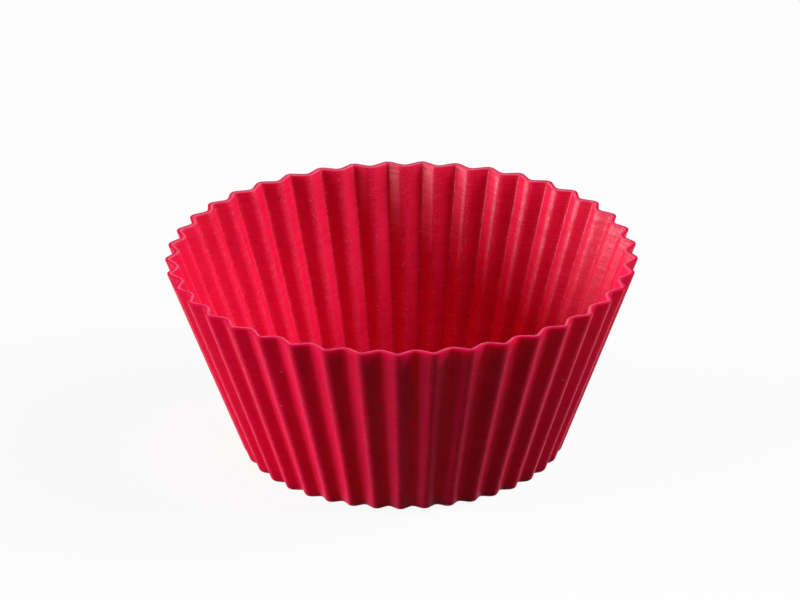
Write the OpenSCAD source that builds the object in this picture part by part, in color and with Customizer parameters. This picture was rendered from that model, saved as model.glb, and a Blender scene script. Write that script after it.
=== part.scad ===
// A fluted baking cup in one moulded piece: a tapered wall of rounded flutes, open at the top,
// with a flat floor. It stands on the floor's underside, and its origin is at the middle of that face.
// A flute crest points along -Y.

/* [Cup] */
// Width of the rim, over the flute crests
rim_d = 70; // [66:0.5:84]
// Width of the foot, over the flute crests, where the wall's line meets the ground
base_d = 47.6; // [46:0.2:58]
// Height from the ground to the rim
cup_h = 30.3; // [24:0.1:50]

/* [Flutes] */
// Number of flutes round the wall
flutes = 41; // [32:1:42]
// Depth of a flute at the rim, from crest to valley on the outside
rim_flute_depth = 1.25; // [0.8:0.05:1.5]
// Depth of a flute at the foot, from crest to valley on the outside
base_flute_depth = 0.95; // [0.5:0.05:1]
// Radius over the outside of each crest, at the rim
crest_r = 1.3; // [0.8:0.05:1.4]
// Radius in the outside of each valley, at the rim
valley_r = 1.1; // [0.5:0.05:1.1]
// Radius of the crease on the inside, behind each crest, at the rim
crease_r = 0.35; // [0.2:0.05:0.4]

/* [Wall and floor] */
// Thickness of the wall, square to its surface
wall_t = 0.75; // [0.5:0.05:0.9]
// Thickness of the floor
floor_t = 1; // [0.6:0.1:2]
// Radius of the foot's outside edge, between wall and ground
foot_r = 1; // [0.4:0.1:2]
// Radius of the inside corner, between wall and floor
corner_r = 1.2; // [0.4:0.1:2]
// Size of the small break along both edges of the rim
rim_break = 0.12; // [0.05:0.01:0.2]

/* [Hidden] */

// Steps in half of a crest's or a valley's rounding, and in the rounding of foot and corner
round_steps = 2;
foot_steps = 3;

half_flute_a = 180 / flutes;
draft_a = atan((rim_d - base_d) / 2 / cup_h);
// The wall's thickness seen in a level section
level_t = wall_t / cos(draft_a);

// Radius over the crests, and depth of the flutes, on the wall's straight line at height z
function crest_at(z) = base_d / 2 + z * tan(draft_a);
function depth_at(z) = base_flute_depth + (rim_flute_depth - base_flute_depth) * z / cup_h;

// Direction that lies a degrees round from a flute's crest
function out(a) = [sin(a), cos(a)];

// Angle between a flank of the flute and the rim's own direction, from the line that touches
// both the crest's circle and the valley's. across runs from centre to centre, and radii is
// the sum of the two radii.
function flank_a(across, radii) = atan2(across.x, across.y) - acos(radii / norm(across));

// Level section of half a flute, from the middle of its crest to the middle of its valley.
// top is the radius over the crests, and inset is how far the section lies inside the outer surface.
// The radii of crest and valley shrink with the cup, from the rim down to the foot, and the crest's
// goes over into the crease's through the wall.
function half_flute(top, depth, inset) =
    let (
        share = 2 * top / rim_d,
        over = crest_r * share,
        under = valley_r * share,
        bend = over + (crease_r * share - over) * inset / level_t,
        crest = [0, top - over],
        valley = (top - depth + under) * out(half_flute_a),
        flank = flank_a(valley - crest, over + under),
        bend_mid = crest + [0, (over - inset - bend) / cos(flank)]
    )
    [
        for (i = [0:round_steps])
            bend_mid + bend * out(flank * i / round_steps),
        for (i = [0:round_steps])
            valley - (under + inset) * out(flank + (half_flute_a - flank) * i / round_steps)
    ];

// The same section all the way round, at height z, as points that run anticlockwise
function ring(z, top, depth, inset) =
    let (
        half = half_flute(top, depth, inset),
        last = len(half) - 1,
        flute = [
            for (i = [last - 1:-1:1]) [half[i].x, -half[i].y],
            for (p = half) [-p.x, -p.y]
        ]
    )
    [
        for (k = [0:flutes - 1])
            let (a = 2 * half_flute_a * k, c = cos(a), s = sin(a))
            for (i = [len(flute) - 1:-1:0])
                [c * flute[i].x - s * flute[i].y, s * flute[i].x + c * flute[i].y, z]
    ];

// Rounding between the wall and a level face at the bottom: height above that face,
// and how far the rounding lies inside the wall's straight line
function rounding(r) = [
    for (i = [0:foot_steps])
        let (a = -90 + (90 - draft_a) * i / foot_steps)
        [
            r + r * sin(a),
            r * tan(45 - draft_a / 2) - r * cos(a) + (r + r * sin(a)) * tan(draft_a)
        ]
];

function outer_rings() = [
    for (p = rounding(foot_r))
        ring(p[0], crest_at(p[0]) - p[1], depth_at(p[0]), 0),
    ring(cup_h - rim_break, crest_at(cup_h - rim_break), depth_at(cup_h - rim_break), 0),
    ring(cup_h, crest_at(cup_h), depth_at(cup_h), rim_break)
];

function inner_rings() = [
    for (p = rounding(corner_r))
        let (z = floor_t + p[0])
        ring(z, crest_at(z) - p[1], depth_at(z), level_t),
    ring(cup_h - rim_break, crest_at(cup_h - rim_break), depth_at(cup_h - rim_break), level_t),
    ring(cup_h, crest_at(cup_h), depth_at(cup_h), level_t - rim_break)
];

// A closed shell through a list of rings of equal length, with a level face at each end
module through_rings(rings) {
    n = len(rings[0]);
    m = len(rings);
    polyhedron(
        points = [for (r = rings) for (p = r) p],
        faces = [
            [for (i = [0:n - 1]) i],
            for (j = [0:m - 2])
                for (i = [0:n - 1])
                    let (a = j * n + i, b = j * n + (i + 1) % n)
                    each [[a, a + n, b], [b, a + n, b + n]],
            [for (i = [n - 1:-1:0]) (m - 1) * n + i]
        ],
        convexity = 10
    );
}

// Outside from the ground up, over the rim, and back down the inside to the floor
module baking_cup() {
    inner = inner_rings();
    color("crimson")
        through_rings([
            each outer_rings(),
            for (i = [len(inner) - 1:-1:0]) inner[i]
        ]);
}

baking_cup();
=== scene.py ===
"""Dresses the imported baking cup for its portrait.

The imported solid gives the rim, the height and the place of the cup. This script models the same
fluted shell finely, gives it a satin red silicone, and sets it on a pale floor under soft lamps,
seen from the photograph's own angle.
"""

import logging
import math
from dataclasses import dataclass, field
from enum import Enum
from typing import Any

import bpy
import numpy as np
from mathutils import Matrix, Vector


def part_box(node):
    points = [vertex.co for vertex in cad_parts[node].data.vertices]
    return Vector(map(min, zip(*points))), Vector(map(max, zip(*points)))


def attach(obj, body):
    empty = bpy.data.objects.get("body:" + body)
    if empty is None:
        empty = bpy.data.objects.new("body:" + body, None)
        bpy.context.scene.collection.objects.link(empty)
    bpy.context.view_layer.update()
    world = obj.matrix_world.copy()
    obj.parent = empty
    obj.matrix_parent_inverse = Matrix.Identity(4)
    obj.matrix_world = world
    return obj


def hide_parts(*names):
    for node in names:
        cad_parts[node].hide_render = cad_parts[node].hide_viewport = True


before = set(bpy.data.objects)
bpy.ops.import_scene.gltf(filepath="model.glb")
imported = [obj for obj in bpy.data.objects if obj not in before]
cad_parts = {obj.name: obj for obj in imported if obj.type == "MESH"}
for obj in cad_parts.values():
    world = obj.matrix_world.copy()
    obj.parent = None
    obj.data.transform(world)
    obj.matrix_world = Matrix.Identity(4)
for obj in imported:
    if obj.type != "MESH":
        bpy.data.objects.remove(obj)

LOG = logging.getLogger("baking_cup")
MM = 0.001
Ends = tuple[float, float]
Triple = tuple[float, float, float]
Colour = tuple[float, float, float, float]
Waves = tuple[tuple[int, float, float], ...]
CUP_NODE = "baking_cup"


@dataclass(frozen=True)
class FluteWall:
    """The cup's wall as the mould cuts it: round-cornered V flutes on a straight taper.

    Lengths are in metres. The rim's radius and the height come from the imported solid. The radii
    of crest, valley and crease are those at the rim, and shrink with the cup towards the foot.
    """

    rim_r: float
    height: float
    base_r: float = 23.8 * MM
    flutes: int = 41
    rim_depth: float = 1.25 * MM
    base_depth: float = 0.95 * MM
    crest_r: float = 1.3 * MM
    valley_r: float = 1.1 * MM
    crease_r: float = 0.35 * MM
    wall: float = 0.75 * MM
    floor: float = 1.0 * MM
    foot_r: float = 1.0 * MM
    corner_r: float = 1.2 * MM
    rim_edge: float = 0.16 * MM
    arc_steps: int = 5
    flank_steps: int = 2
    wall_steps: int = 20
    edge_steps: int = 4

    @property
    def draft(self) -> float:
        """Lean of the wall from upright, in radians."""
        return math.atan((self.rim_r - self.base_r) / self.height)

    @property
    def level_wall(self) -> float:
        """Thickness of the wall in a level section."""
        return self.wall / math.cos(self.draft)

    @property
    def half_angle(self) -> float:
        """Angle from the middle of a crest to the middle of the next valley."""
        return math.pi / self.flutes

    def half_flute(self, top: np.ndarray, depth: np.ndarray, inset: np.ndarray) -> np.ndarray:
        """Level sections of half a flute, from the middle of a crest to the middle of a valley.

        A flank is the line that touches the crest's circle and the valley's circle. With v from
        the crest's centre to the valley's, its normal leans from the crest's direction by
        angle(v) - acos((crest radius + valley radius) / |v|). Setting the section back by inset
        grows the valley's circle, and turns the crest's into the crease's on the way to the inside.

        Args:
            top: radius over the crests, one for each section.
            depth: flute depth, one for each section.
            inset: how far each section lies inside the outer surface.

        Returns:
            Complex numbers, outward + 1j * sideways, in rows of sections.
        """
        share = top / self.rim_r
        crest_r, valley_r = self.crest_r * share, self.valley_r * share
        crest = top - crest_r
        valley = (top - depth + valley_r) * np.exp(1j * self.half_angle)
        across = valley - crest
        lean = np.angle(across) - np.arccos((crest_r + valley_r) / np.abs(across))
        bend = crest_r + (self.crease_r * share - crest_r) * inset / self.level_wall
        bend_mid = crest + (crest_r - inset - bend) / np.cos(lean)
        step = np.linspace(0.0, 1.0, self.arc_steps + 1)
        lean, bend, bend_mid = lean[:, None], bend[:, None], bend_mid[:, None]
        over_crest = bend_mid + bend * np.exp(1j * lean * step)
        turn = lean + (self.half_angle - lean) * step
        in_valley = valley[:, None] - (valley_r + inset)[:, None] * np.exp(1j * turn)
        part = np.linspace(0.0, 1.0, self.flank_steps + 2)[1:-1]
        flank = over_crest[:, -1:] + (in_valley[:, :1] - over_crest[:, -1:]) * part
        return np.concatenate([over_crest, flank, in_valley], axis=1)

    def rings(self, z: np.ndarray, setback: np.ndarray, inset: np.ndarray) -> np.ndarray:
        """Closed level sections all the way round, one for each height.

        Half a flute and its mirror image make one flute, which is turned round the axis once for
        each flute, from the one that points along -Y, anticlockwise.

        Args:
            z: heights.
            setback: how far each section lies inside the wall's straight line, along the radius.
            inset: how far each section lies inside the outer surface, square to it.

        Returns:
            Points, as an array of sections by points by three.
        """
        top = self.base_r + z * math.tan(self.draft) - setback
        depth = self.base_depth + (self.rim_depth - self.base_depth) * z / self.height
        half = self.half_flute(top, depth, inset)
        flute = np.concatenate([np.conj(half[:, -2:0:-1]), half], axis=1)
        turns = np.exp(1j * (2 * self.half_angle * np.arange(self.flutes) - math.pi / 2))
        level = (flute[:, None, :] * turns[None, :, None]).reshape(len(z), -1)
        height = np.broadcast_to(z[:, None], level.shape)
        return np.stack([level.real, level.imag, height], axis=2)

    def rounding(self, radius: float, steps: int) -> tuple[np.ndarray, np.ndarray]:
        """Rounding between the leaning wall and the level face below it.

        The arc a from -90 degrees to minus the draft gives height r + r sin a, and lies
        r tan(45 - draft / 2) - r cos a + height * tan(draft) inside the wall's line.

        Args:
            radius: the rounding's radius.
            steps: number of steps along it.

        Returns:
            Heights above the level face, and setbacks.
        """
        a = np.linspace(-math.pi / 2, -self.draft, steps + 1)
        rise = radius + radius * np.sin(a)
        reach = radius * math.tan(math.pi / 4 - self.draft / 2)
        return rise, reach - radius * np.cos(a) + rise * math.tan(self.draft)

    def ridge(self, points: np.ndarray, inset: np.ndarray) -> np.ndarray:
        """How far each point lies on a ridge: a crest outside, and the back of a valley inside.

        With side from 1 outside to -1 inside, and turn from the crest along -Y, the share is
        (1 + side * cos(flutes * turn)) / 2. It fades out just above the floor.

        Args:
            points: sections of the wall, as rings() gives them.
            inset: how far each section lies inside the outer surface.

        Returns:
            Shares from 0 to 1, one for each point.
        """
        turn = np.arctan2(points[..., 1], points[..., 0]) + math.pi / 2
        side = (1 - 2 * inset / self.level_wall)[:, None]
        fade = np.clip((points[..., 2] - self.floor) / (2 * self.corner_r), 0.0, 1.0)
        return fade * (1 + side * np.cos(self.flutes * turn)) / 2

    def lip(self, points: np.ndarray) -> np.ndarray:
        """How far each point lies on the rim's edge: 0 at its shoulder and 1 on top."""
        return np.clip((points[..., 2] - self.height) / self.rim_edge + 1, 0.0, 1.0)

    def profile(self) -> tuple[np.ndarray, np.ndarray, np.ndarray]:
        """The way from the foot up the outside, over the rim and down the inside to the floor.

        Returns:
            Height, setback and inset of each section on the way.
        """
        foot_z, foot_back = self.rounding(self.foot_r, 2 * self.edge_steps)
        corner_z, corner_back = self.rounding(self.corner_r, 2 * self.edge_steps)
        corner_z = corner_z + self.floor
        shoulder = self.height - self.rim_edge
        out_z = np.linspace(foot_z[-1], shoulder, self.wall_steps)[1:]
        in_z = np.linspace(shoulder, corner_z[-1], self.wall_steps)[:-1]
        a = np.linspace(0.0, math.pi / 2, self.edge_steps + 1)[1:]
        edge_z = shoulder + self.rim_edge * np.sin(a)
        edge_in = self.rim_edge * (1 - np.cos(a))
        z = np.concatenate([foot_z, out_z, edge_z, edge_z[::-1], in_z, corner_z[::-1]])
        back = np.concatenate([
            foot_back, np.zeros(len(out_z) + 2 * len(edge_z) + len(in_z)), corner_back[::-1]])
        inset = np.concatenate([
            np.zeros(len(foot_z) + len(out_z)), edge_in, (self.level_wall - edge_in)[::-1],
            np.full(len(in_z) + len(corner_z), self.level_wall)])
        return z, back, inset


@dataclass(frozen=True)
class Slack:
    """How the soft moulding gives: each wave is (waves round the cup, phase, size in metres)."""

    rim_pull: Waves = ((2, 0.7, 0.06 * MM), (5, 2.1, 0.04 * MM))
    rim_dip: Waves = ((3, 1.3, 0.08 * MM), (8, 0.2, 0.04 * MM))
    flute_sway: Waves = ((7, 1.1, 0.07 * MM), (17, 2.6, 0.05 * MM))

    @staticmethod
    def waves(turn: np.ndarray, table: Waves) -> np.ndarray:
        """Sum of size * (1 + cos(count * turn + phase)) / 2 over the waves of a table."""
        return sum(size * (1 + np.cos(count * turn + phase)) / 2 for count, phase, size in table)

    def apply(self, points: np.ndarray, height: float) -> np.ndarray:
        """Moves points inward, down and sideways, by more towards the rim.

        The share of each move is (z / height) squared, so the foot stays as moulded.

        Args:
            points: points of the cup, with x, y and z last.
            height: the cup's height.

        Returns:
            The moved points.
        """
        x, y, z = points[..., 0], points[..., 1], points[..., 2]
        share = (z / height) ** 2
        radius, turn = np.hypot(x, y), np.arctan2(y, x)
        moved_r = radius - share * self.waves(turn, self.rim_pull)
        moved_turn = turn + share * self.waves(turn, self.flute_sway) / np.maximum(radius, MM)
        moved_z = z - share * self.waves(turn, self.rim_dip)
        return np.stack([moved_r * np.cos(moved_turn), moved_r * np.sin(moved_turn), moved_z], axis=-1)


class Value:
    """A value socket that takes Python's operators: each one adds a Math node."""

    def __init__(self, tree: "Nodes", socket: bpy.types.NodeSocket) -> None:
        """Keeps the socket and the tree that it belongs to."""
        self.tree = tree
        self.socket = socket

    def _math(self, operation: str, *values: Any) -> "Value":
        """Adds a Math node of an operation on the values, and returns its result."""
        return self.tree.add("Math", {"operation": operation}, dict(enumerate(values))).value()

    def __add__(self, other: Any) -> "Value":
        """self + other."""
        return self._math("ADD", self, other)

    __radd__ = __add__

    def __sub__(self, other: Any) -> "Value":
        """self - other."""
        return self._math("SUBTRACT", self, other)

    def __rsub__(self, other: Any) -> "Value":
        """other - self."""
        return self._math("SUBTRACT", other, self)

    def __mul__(self, other: Any) -> "Value":
        """self * other."""
        return self._math("MULTIPLY", self, other)

    __rmul__ = __mul__

    def __gt__(self, other: Any) -> "Value":
        """1 where self is above other, and 0 elsewhere."""
        return self._math("GREATER_THAN", self, other)

    def ramp(self, low: float, high: float) -> "Value":
        """0 at low and 1 at high, eased between them and held beyond them."""
        settings = {"interpolation_type": "SMOOTHSTEP"}
        return self.tree.add("MapRange", settings, {"Value": self, 1: low, 2: high}).value()


class Added:
    """A node just added, with short ways to its outputs."""

    def __init__(self, tree: "Nodes", node: bpy.types.Node) -> None:
        """Keeps the node and its tree."""
        self.tree = tree
        self.node = node

    def out(self, name: str | int = 0) -> bpy.types.NodeSocket:
        """The output socket of a name or a number."""
        return self.node.outputs[name]

    def value(self, name: str | int = 0) -> Value:
        """The output socket of a name or a number, as a value for expressions."""
        return Value(self.tree, self.out(name))


class Nodes:
    """A material's or a world's node tree, emptied and ready to be filled."""

    def __init__(self, owner: bpy.types.Material | bpy.types.World) -> None:
        """Turns the owner's nodes on and empties them."""
        owner.use_nodes = True
        self.tree = owner.node_tree
        self.tree.nodes.clear()

    def add(self, kind: str, settings: dict[str, Any] | None = None,
            inputs: dict[str | int, Any] | None = None) -> Added:
        """Adds a node, sets it, and fills its inputs.

        Args:
            kind: the node's type, without its ShaderNode prefix.
            settings: properties of the node, set first.
            inputs: a value, a socket or a Value for each named or numbered input.

        Returns:
            The added node.
        """
        node = self.tree.nodes.new("ShaderNode" + kind)
        for name, setting in (settings or {}).items():
            setattr(node, name, setting)
        for name, given in (inputs or {}).items():
            if isinstance(given, Added):
                given = given.out()
            if isinstance(given, Value):
                given = given.socket
            if isinstance(given, bpy.types.NodeSocket):
                self.tree.links.new(given, node.inputs[name])
            else:
                node.inputs[name].default_value = given
        return Added(self, node)

    def blend(self, share: Any, first: Any, second: Any) -> bpy.types.NodeSocket:
        """Mixes two colours: the first where share is 0, the second where it is 1."""
        mix = self.add("Mix", {"data_type": "RGBA"}, {0: share, 6: first, 7: second})
        return mix.out(2)

    def stretched(self, scale: Triple) -> Added:
        """Object coordinates, each multiplied by its own scale."""
        where = self.add("TexCoord").out("Object")
        return self.add("VectorMath", {"operation": "MULTIPLY"}, {0: where, 1: scale})

    def noise(self, scale: Triple, detail: float) -> Value:
        """Noise in cells of 1 / scale metres along each axis, with a number of finer layers."""
        inputs = {"Vector": self.stretched(scale), "Scale": 1.0, "Detail": detail}
        return self.add("TexNoise", {}, inputs).value("Fac")

    def mark(self, name: str) -> Value:
        """A mark that the mesh carries at its points."""
        return self.add("Attribute", {"attribute_name": name}).value("Fac")


def rgba(red: float, green: float, blue: float) -> Colour:
    """An opaque linear colour."""
    return red, green, blue, 1.0


@dataclass(frozen=True)
class Patterns:
    """What changes over the silicone's surface, each as a value from about 0 to 1."""

    inside: Value
    lip: Value
    wear_and_sheen: Value
    cloud: Value
    grain: Value
    tool_marks: Value
    grit_and_glints: Value
    streaks: Value
    specks: Value


@dataclass(frozen=True)
class Silicone:
    """Satin red silicone, a little see-through where it is thin, with painted pale highlights on
    ridges.

    A scale is in cells a metre along each axis, and ends are where a ramp is 0 and where it is 1.
    The inside is glossier than the outside, with a faint painted sheen; ridges and creases carry pale
    wear and painted glints in fine dots; the rim's edge has a painted highlight inside, painted shade
    outside.
    """

    red: Colour = rgba(0.88, 0.0015, 0.061)
    deep: Colour = rgba(0.77, 0.001, 0.052)
    # Painted highlight: a pale pink that stands for glints on ridges and creases, for a sheen over the
    # inside, and for the lit inner side of the rim's edge.
    highlight_pink: Colour = rgba(1.0, 0.17, 0.25)
    # Painted shade: a dark red for the shaded outer side of the rim's edge.
    shade_plum: Colour = rgba(0.5, 0.002, 0.04)
    dust: Colour = rgba(1.0, 0.6, 0.66)

    see_through: float = 0.85
    reach: float = 2.0 * MM
    reach_by_colour: Triple = (1.0, 0.1, 0.6)
    refraction: float = 1.42
    reflectance: float = 0.16
    sheen: Colour = rgba(1.0, 0.45, 0.8)
    roughness: float = 0.48
    roughness_spread: float = 0.10
    polish: float = 0.05
    polish_inside: float = 0.80
    polish_roughness: float = 0.28

    cloud_scale: Triple = (260, 260, 260)
    cloud_detail: float = 3.0
    cloud_ends: Ends = (0.3, 0.7)
    cloud_share: float = 0.7
    grain_scale: Triple = (3400, 3400, 3400)
    tool_mark_scale: Triple = (220, 220, 3600)
    fine_detail: float = 2.0
    streak_ends: Ends = (0.40, 0.62)
    streak_share: float = 0.3
    grit_and_glint_ends: Ends = (0.54, 0.70)
    grit_and_glints: float = 0.36

    ridge_ends: Ends = (0.70, 1.0)
    crease_ends: Ends = (0.12, 0.02)
    # Painted sheen and wear: shares of pale pink on ridges, on creases and over the inside, standing
    # for glossy reflection and glints, with some real wear on ridges.
    wear_and_sheen_outside: float = 0.6
    painted_sheen_and_wear: float = 0.04
    # Painted sheen: a share of pale pink over the whole inside, in place of its glossy reflection.
    painted_sheen_inside: float = 0.03
    lip_ends: Ends = (0.2, 0.9)
    lip_inner_ends: Ends = (0.3, 0.8)
    lip_outer_ends: Ends = (0.4, 0.1)
    # Painted highlight on the inner side of the rim's edge, and painted shade on its outer side.
    lip_highlight: float = 0.75
    lip_shade: float = 0.3

    speck_scale: float = 420.0
    speck_ends: Ends = (0.02, 0.05)
    speck_chance: float = 0.84
    speck_share: float = 0.9

    bead_base: float = 0.15
    bead_streaks: float = 0.35
    bead_grit: float = 0.50
    relief_height: float = 0.05 * MM
    relief_grain: float = 1.0
    relief_tool_marks: float = 0.45
    relief_specks: float = 0.4

    def material(self) -> bpy.types.Material:
        """Builds the material, on Object coordinates and the cup's own marks."""
        made = bpy.data.materials.new("red_silicone")
        nodes = Nodes(made)
        seen = self.patterns(nodes)
        beads = seen.streaks * self.bead_streaks + seen.grit_and_glints * self.bead_grit + self.bead_base
        least_rough = self.roughness - self.roughness_spread / 2
        skin = nodes.add("BsdfPrincipled", {"subsurface_method": "RANDOM_WALK"}, {
            "Base Color": self.colour(nodes, seen),
            "Roughness": seen.cloud * self.roughness_spread + least_rough,
            "Normal": self.relief(nodes, seen),
            "IOR": self.refraction,
            "Specular IOR Level": self.reflectance,
            "Specular Tint": self.sheen,
            "Coat Weight": (seen.inside * self.polish_inside + self.polish) * beads,
            "Coat Roughness": self.polish_roughness,
            "Coat IOR": self.refraction,
            "Subsurface Weight": self.see_through,
            "Subsurface Scale": self.reach,
            "Subsurface Radius": self.reach_by_colour})
        nodes.add("OutputMaterial", {}, {"Surface": skin})
        return made

    def patterns(self, nodes: Nodes) -> Patterns:
        """Adds the nodes of everything that changes over the surface.

        Args:
            nodes: the material's nodes.

        Returns:
            The patterns, for colour, gloss and relief to share.
        """
        inside, ridge = nodes.mark("inside"), nodes.mark("ridge")
        # Ridges and creases, where real wear and painted glints go.
        wear_and_sheen = ridge.ramp(*self.ridge_ends) + inside * ridge.ramp(*self.crease_ends)
        grain = nodes.noise(self.grain_scale, self.fine_detail)
        tool_marks = nodes.noise(self.tool_mark_scale, self.fine_detail)
        return Patterns(
            inside=inside,
            lip=nodes.mark("lip").ramp(*self.lip_ends),
            wear_and_sheen=wear_and_sheen * (inside * (1 - self.wear_and_sheen_outside) + self.wear_and_sheen_outside),
            cloud=nodes.noise(self.cloud_scale, self.cloud_detail),
            grain=grain,
            tool_marks=tool_marks,
            grit_and_glints=grain.ramp(*self.grit_and_glint_ends),
            streaks=tool_marks.ramp(*self.streak_ends),
            specks=self.specks(nodes))

    def colour(self, nodes: Nodes, seen: Patterns) -> bpy.types.NodeSocket:
        """Blends the red with cloud and streaks, painted sheen, glints and wear, the rim's painted
        highlight and shade, and dust.

        Args:
            nodes: the material's nodes.
            seen: the patterns.

        Returns:
            The colour.
        """
        fresh = seen.cloud.ramp(*self.cloud_ends) * self.cloud_share + seen.streaks * self.streak_share
        # Painted sheen over the inside, and painted glints with wear in fine dots on ridges and
        # creases.
        painted_sheen_and_wear = seen.inside * self.painted_sheen_inside + seen.wear_and_sheen * (seen.grit_and_glints * self.grit_and_glints + self.painted_sheen_and_wear)
        # Painted highlight and painted shade on the rim's edge: its inner side lighter, its outer side
        # darker.
        inner = seen.lip * seen.inside.ramp(*self.lip_inner_ends)
        outer = seen.lip * seen.inside.ramp(*self.lip_outer_ends)
        colour = nodes.blend(fresh, self.deep, self.red)
        colour = nodes.blend(painted_sheen_and_wear, colour, self.highlight_pink)
        colour = nodes.blend(inner * self.lip_highlight, colour, self.highlight_pink)
        colour = nodes.blend(outer * self.lip_shade, colour, self.shade_plum)
        return nodes.blend(seen.specks * self.speck_share, colour, self.dust)

    def relief(self, nodes: Nodes, seen: Patterns) -> bpy.types.NodeSocket:
        """The surface's normal, roughened by grain, tool marks and specks."""
        height = (seen.grain * self.relief_grain + seen.tool_marks * self.relief_tool_marks
                  + seen.specks * self.relief_specks)
        inputs = {"Strength": 1.0, "Distance": self.relief_height, "Height": height}
        return nodes.add("Bump", {}, inputs).out("Normal")

    def specks(self, nodes: Nodes) -> Value:
        """Rare specks of dust: 1 in the middle of a few small cells of a Voronoi pattern."""
        inputs = {"Vector": nodes.stretched((1, 1, 1)), "Scale": self.speck_scale}
        cells = nodes.add("TexVoronoi", {}, inputs)
        chance = nodes.add("SeparateColor", {}, {0: cells.out("Color")}).value(0)
        near = 1 - cells.value("Distance").ramp(*self.speck_ends)
        return near * (chance > self.speck_chance)


@dataclass
class BakingCup:
    """The cup: one shell from the foot over the rim to the inside of the floor."""

    wall: FluteWall
    slack: Slack = field(default_factory=Slack)
    finish: Silicone = field(default_factory=Silicone)
    floor_shares: tuple[float, ...] = (0.9, 0.7, 0.45, 0.2)

    def rows(self) -> tuple[np.ndarray, dict[str, np.ndarray]]:
        """Sections from the middle of the underside to the middle of the floor.

        The wall's own sections lie between two sets of floor rings, which are the first and the
        last of them scaled towards the axis.

        Returns:
            Points, as sections by points by three, and the share of each mark at each point.
        """
        z, setback, inset = self.wall.profile()
        sections = self.wall.rings(z, setback, inset)
        shares = np.array(self.floor_shares)[:, None, None]
        flat = np.array([1.0, 1.0, 0.0])
        below = sections[0] * (shares * flat + (1 - flat))
        above = sections[-1] * (shares * flat + (1 - flat))
        rows = np.concatenate([below[::-1], sections, above])
        inset = np.pad(inset, len(self.floor_shares), mode="edge")
        inside = np.broadcast_to(inset[:, None] / self.wall.level_wall, rows.shape[:2])
        marks = {
            "ridge": self.wall.ridge(rows, inset),
            "lip": self.wall.lip(rows),
            "inside": inside}
        return self.slack.apply(rows, self.wall.height), marks

    @staticmethod
    def shell(rows: np.ndarray) -> tuple[np.ndarray, np.ndarray, np.ndarray]:
        """Points and faces of the closed shell through the sections, with a point at each end.

        Args:
            rows: sections by points by three.

        Returns:
            Points, four-sided faces and three-sided faces.
        """
        count, size = rows.shape[:2]
        ends = np.array([[0.0, 0.0, rows[0, 0, 2]], [0.0, 0.0, rows[-1, 0, 2]]])
        points = np.concatenate([rows.reshape(-1, 3), ends])
        index = np.arange(count * size).reshape(count, size)
        ahead = np.roll(index, -1, axis=1)
        quads = np.stack([index[:-1], ahead[:-1], ahead[1:], index[1:]], axis=-1).reshape(-1, 4)
        under = np.stack([ahead[0], index[0], np.full(size, count * size)], axis=-1)
        inside = np.stack([index[-1], ahead[-1], np.full(size, count * size + 1)], axis=-1)
        return points, quads, np.concatenate([under, inside])

    def mesh(self) -> bpy.types.Object:
        """Puts the shell and its marks into a smooth-shaded mesh object at the origin."""
        rows, marks = self.rows()
        points, quads, fans = self.shell(rows)
        data = bpy.data.meshes.new("fluted_cup")
        data.from_pydata(points.tolist(), [], quads.tolist() + fans.tolist())
        data.shade_smooth()
        data.update()
        for name, shares in marks.items():
            kept = data.attributes.new(name, "FLOAT", "POINT")
            kept.data.foreach_set("value", np.append(shares.ravel(), shares[[0, -1], 0]))
        made = bpy.data.objects.new("fluted_cup", data)
        bpy.context.scene.collection.objects.link(made)
        return made

    def build(self) -> bpy.types.Object:
        """Makes the cup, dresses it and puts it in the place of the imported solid."""
        made = self.mesh()
        made.data.materials.append(self.finish.material())
        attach(made, "root")
        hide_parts(CUP_NODE)
        LOG.info("%s: %d points, %d faces", made.name, len(made.data.vertices), len(made.data.polygons))
        return made


class Side(Enum):
    """Where a lamp stands: its turn to the right from the cup's front, and its rise, in degrees."""

    RIGHT_HIGH = (90.0, 40.0)
    LEFT_LOW = (-82.0, 12.5)
    OVERHEAD = (0.0, 82.0)


@dataclass(frozen=True)
class Lamp:
    """A soft lamp, width by height, that looks at the cup."""

    side: Side
    width: float
    height: float
    distance: float
    level: float

    def build(self) -> bpy.types.Object:
        """Makes the lamp. Its power gives a facing white surface at the cup the lamp's level.

        A small lamp of power P lights a facing surface at distance d with P / (pi d d), so
        P = level * pi * pi * d * d.

        Returns:
            The lamp.
        """
        turn, rise = (math.radians(a) for a in self.side.value)
        away = Vector((math.sin(turn) * math.cos(rise), -math.cos(turn) * math.cos(rise),
                       math.sin(rise)))
        data = bpy.data.lights.new(self.side.name.lower(), "AREA")
        data.shape = "RECTANGLE"
        data.size, data.size_y = self.width, self.height
        data.energy = self.level * (math.pi * self.distance) ** 2
        made = bpy.data.objects.new(data.name, data)
        made.location = away * self.distance
        made.rotation_euler = away.to_track_quat("Z", "Y").to_euler()
        made.visible_camera = False
        bpy.context.scene.collection.objects.link(made)
        return made


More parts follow.
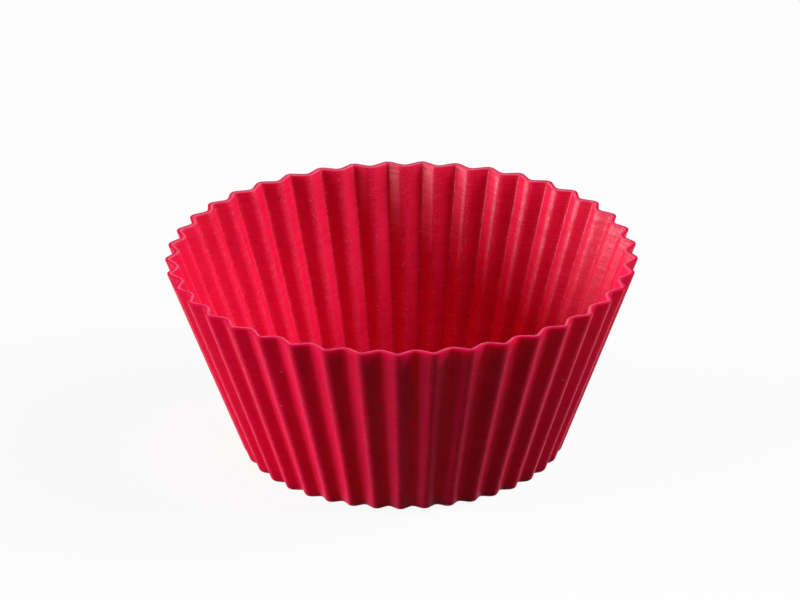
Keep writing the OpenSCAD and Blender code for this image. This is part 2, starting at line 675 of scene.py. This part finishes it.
@dataclass(frozen=True)
class Studio:
    """A pale floor, three soft lamps and an even, dim surround.

    The floor lights the cup as dark grey. Seen directly, or by a reflection, it is white paint
    in which glow is the share of plain white, and the rest takes the shadow.
    """

    lamps: tuple[Lamp, ...] = (
        Lamp(Side.RIGHT_HIGH, 0.6, 0.6, 1.2, 0.97),
        Lamp(Side.LEFT_LOW, 1.0, 0.4, 1.2, 1.16),
        Lamp(Side.OVERHEAD, 0.6, 0.6, 1.2, 0.08),
    )
    surround: float = 0.01
    white: Colour = rgba(1.0, 1.0, 1.0)
    floor_white: Colour = rgba(0.88, 0.88, 0.88)
    floor_grey: Colour = rgba(0.06, 0.06, 0.06)
    floor_half: float = 4.0
    floor_z: float = -0.02 * MM
    glow: float = 0.92

    def build(self) -> None:
        """Makes the floor, the lamps and the surround."""
        self.floor()
        self.world()
        for lamp in self.lamps:
            LOG.info("lamp %s", lamp.build().name)

    @staticmethod
    def seen_directly(nodes: Nodes) -> Value:
        """1 for rays that reach the floor straight, by a reflection or through glass."""
        path = nodes.add("LightPath")
        return (path.value("Is Camera Ray") + path.value("Is Glossy Ray")
                + path.value("Is Transmission Ray")) > 0.5

    def floor(self) -> None:
        """Makes the floor: a flat sheet, a hair below the cup, that keeps its shadow on white."""
        half, z = self.floor_half, self.floor_z
        corners = [(-half, -half, z), (half, -half, z), (half, half, z), (-half, half, z)]
        data = bpy.data.meshes.new("studio_floor")
        data.from_pydata(corners, [], [(0, 1, 2, 3)])
        made = bpy.data.objects.new("studio_floor", data)
        bpy.context.scene.collection.objects.link(made)
        paint = bpy.data.materials.new("pale_floor")
        nodes = Nodes(paint)
        seen = self.seen_directly(nodes)
        matt = nodes.add("BsdfDiffuse", {}, {
            "Color": nodes.blend(seen, self.floor_grey, self.floor_white)})
        white = nodes.add("Emission", {}, {"Color": self.white, "Strength": 1.0})
        both = nodes.add("MixShader", {}, {0: seen * self.glow, 1: matt, 2: white})
        nodes.add("OutputMaterial", {}, {"Surface": both})
        data.materials.append(paint)

    def world(self) -> None:
        """Makes the even surround."""
        made = bpy.data.worlds.new("surround")
        bpy.context.scene.world = made
        nodes = Nodes(made)
        back = nodes.add("Background", {}, {"Color": self.white, "Strength": self.surround})
        nodes.add("OutputWorld", {}, {"Surface": back})


@dataclass(frozen=True)
class PhotoCamera:
    """The camera where the photograph's stood, worked out from the rim, the wall and the foot.

    The rim's middle and its radius are given in the photograph's pixels.
    """

    distance: float = 0.77
    elevation: float = 24.3
    turn: float = 1.24
    roll: float = 0.63
    rim_half_px: float = 237.2
    rim_x_px: float = 401.4
    rim_y_px: float = 253.9
    frame_w_px: float = 800.0
    frame_h_px: float = 600.0
    sensor_width: float = 36.0
    nearest: float = 0.01
    farthest: float = 50.0

    def build(self, wall: FluteWall) -> bpy.types.Object:
        """Makes the camera.

        Its focal length shows the rim's radius, at the camera's distance, as rim_half_px, and it
        aims so that the middle of the rim falls on (rim_x_px, rim_y_px).

        Args:
            wall: the cup's wall, for its rim.

        Returns:
            The camera.
        """
        turn, up = math.radians(self.turn), math.radians(self.elevation)
        away = Vector((math.sin(turn) * math.cos(up), -math.cos(turn) * math.cos(up), math.sin(up)))
        rim = Vector((0.0, 0.0, wall.height))
        focal_px = self.rim_half_px * self.distance / wall.rim_r
        level = (-away).to_track_quat("-Z", "Y") @ Matrix.Rotation(
            -math.radians(self.roll), 3, "Z").to_quaternion()
        right = (self.rim_x_px - self.frame_w_px / 2) / focal_px
        rise = (self.frame_h_px / 2 - self.rim_y_px) / focal_px
        data = bpy.data.cameras.new("portrait")
        data.sensor_width = self.sensor_width
        data.lens = self.sensor_width * focal_px / self.frame_w_px
        data.clip_start, data.clip_end = self.nearest, self.farthest
        made = bpy.data.objects.new("portrait", data)
        made.location = rim + away * self.distance
        made.rotation_mode = "QUATERNION"
        aim = Vector((right, rise, -1.0)).normalized()
        made.rotation_quaternion = level @ aim.rotation_difference(Vector((0.0, 0.0, -1.0)))
        bpy.context.scene.collection.objects.link(made)
        bpy.context.scene.camera = made
        return made


def main() -> None:
    """Builds the cup, its studio and the camera."""
    logging.basicConfig(level=logging.INFO, format="%(name)s: %(message)s")
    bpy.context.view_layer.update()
    low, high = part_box(CUP_NODE)
    wall = FluteWall(rim_r=-low.y, height=high.z)
    PhotoCamera().build(wall)
    BakingCup(wall).build()
    Studio().build()
    bpy.context.scene.view_settings.view_transform = "Standard"


if __name__ == "__main__":
    main()
